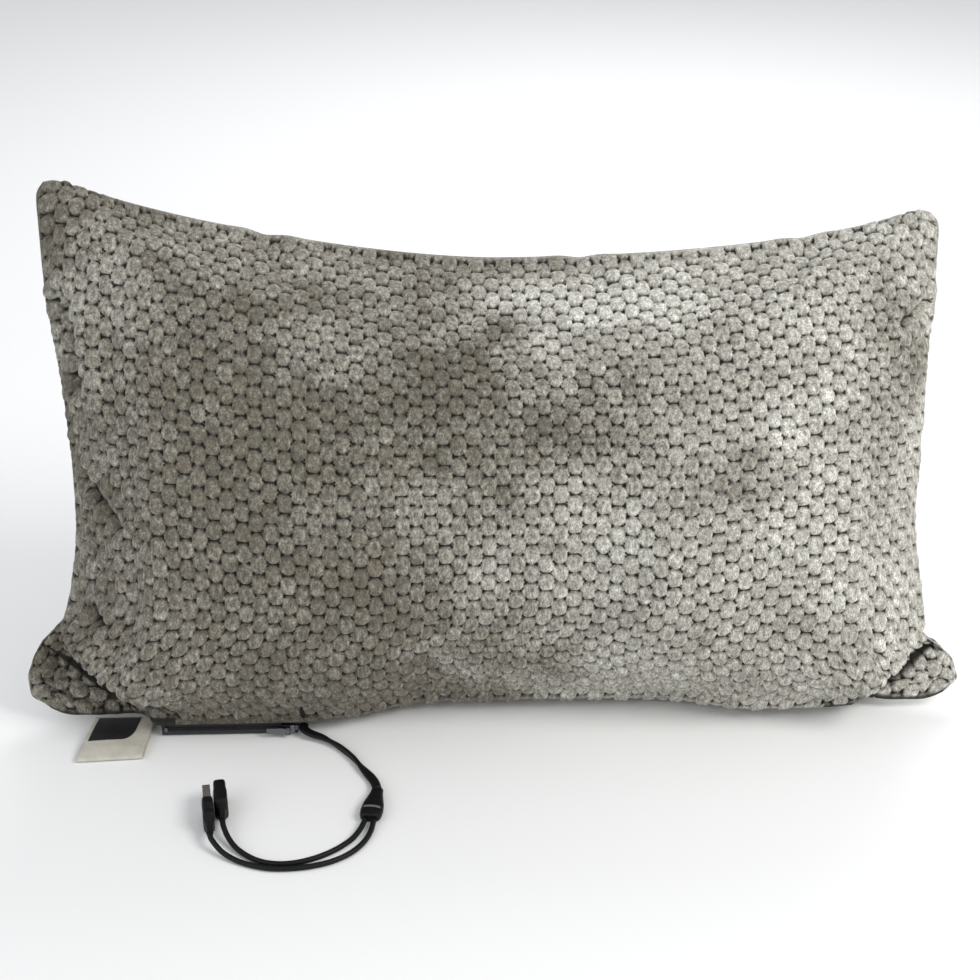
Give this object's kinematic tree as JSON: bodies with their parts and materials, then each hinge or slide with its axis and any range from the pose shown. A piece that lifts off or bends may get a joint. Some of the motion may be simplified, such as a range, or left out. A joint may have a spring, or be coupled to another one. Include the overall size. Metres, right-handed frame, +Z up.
{
  "type": "heated throw pillow",
  "caption": "Stuffed lumbar pillow in honeycomb plush, standing on its long edge, with a heating pad, a lead zip, a folded label and a flat Y-cable.",
  "frame": {"origin": "middle of the width, on the flat strip of the back panel that the pillow stands on", "axes": "+X along the width to the right as seen from the front, the front panel faces -Y, +Z up"},
  "size_m": [0.552, 0.2642, 0.3128],
  "materials": {
    "cover_plush": "honeycomb plush, matt with a brushed sheen",
    "casing_cotton": "plain woven cotton",
    "fibre_filling": "loose polyester fibre",
    "pad_felt": "needled felt",
    "heater_wire": "insulated heating wire",
    "black_component": "moulded, matt",
    "cable_jacket": "soft black jacket",
    "zip_tape": "black woven tape",
    "zip_coil": "black nylon coil",
    "zip_metal": "nickel plated",
    "label_satin": "cream satin",
    "label_patch": "black woven patch, plain",
    "moulded_black": "moulded black",
    "connector_metal": "nickel plated steel",
    "plug_insert": "white insert",
    "contact_gold": "gold plated"
  },
  "bodies": {
    "pillow": {"cover_front": "cover_plush", "cover_back": "cover_plush", "casing_front": "casing_cotton", "casing_back": "casing_cotton", "filling": "fibre_filling", "heat_pad_face": "pad_felt", "heat_pad_carrier": "pad_felt", "heating_wire": "heater_wire", "wire_sleeve": "casing_cotton", "thermal_cutout": "black_component", "inner_lead": "cable_jacket", "zip_tape_front": "zip_tape", "zip_tape_back": "zip_tape", "zip_coil_front": "zip_coil", "zip_coil_back": "zip_coil", "zip_top_stop_front": "zip_metal", "zip_top_stop_back": "zip_metal", "zip_bottom_stop": "zip_metal", "cable_trunk": "cable_jacket", "cable_to_socket": "cable_jacket", "cable_to_plug": "cable_jacket", "splitter_body": "moulded_black", "plug_body": "moulded_black", "plug_shell": "connector_metal", "plug_tongue": "plug_insert", "socket_body": "moulded_black", "socket_shell": "connector_metal", "socket_tongue": "moulded_black", "plug_contact_1": "contact_gold", "plug_contact_2": "contact_gold", "plug_contact_3": "contact_gold", "plug_contact_4": "contact_gold", "socket_contact_1": "contact_gold", "socket_contact_2": "contact_gold", "socket_contact_3": "contact_gold", "socket_contact_4": "contact_gold"},
    "slider": {"zip_slider": "zip_metal"},
    "pull": {"zip_pull": "zip_metal"},
    "label": {"label_band": "label_satin", "label_patch": "label_patch"}
  },
  "joints": [
    {"name": "zip_slide", "type": "slide", "parent": "pillow", "child": "slider", "axis": [-1, 0, 0], "range_m": [0, 0.07]},
    {"name": "pull_swing", "type": "hinge", "parent": "slider", "child": "pull", "pos_m": [-0.1334, -0.0504, 0.0057], "axis": [0, 0, 1], "range_deg": [0, 140]},
    {"name": "label_lift", "type": "hinge", "parent": "pillow", "child": "label", "pos_m": [-0.2425, -0.0403, 0.0034], "axis": [-1, 0, 0], "range_deg": [0, 55]}
  ]
}
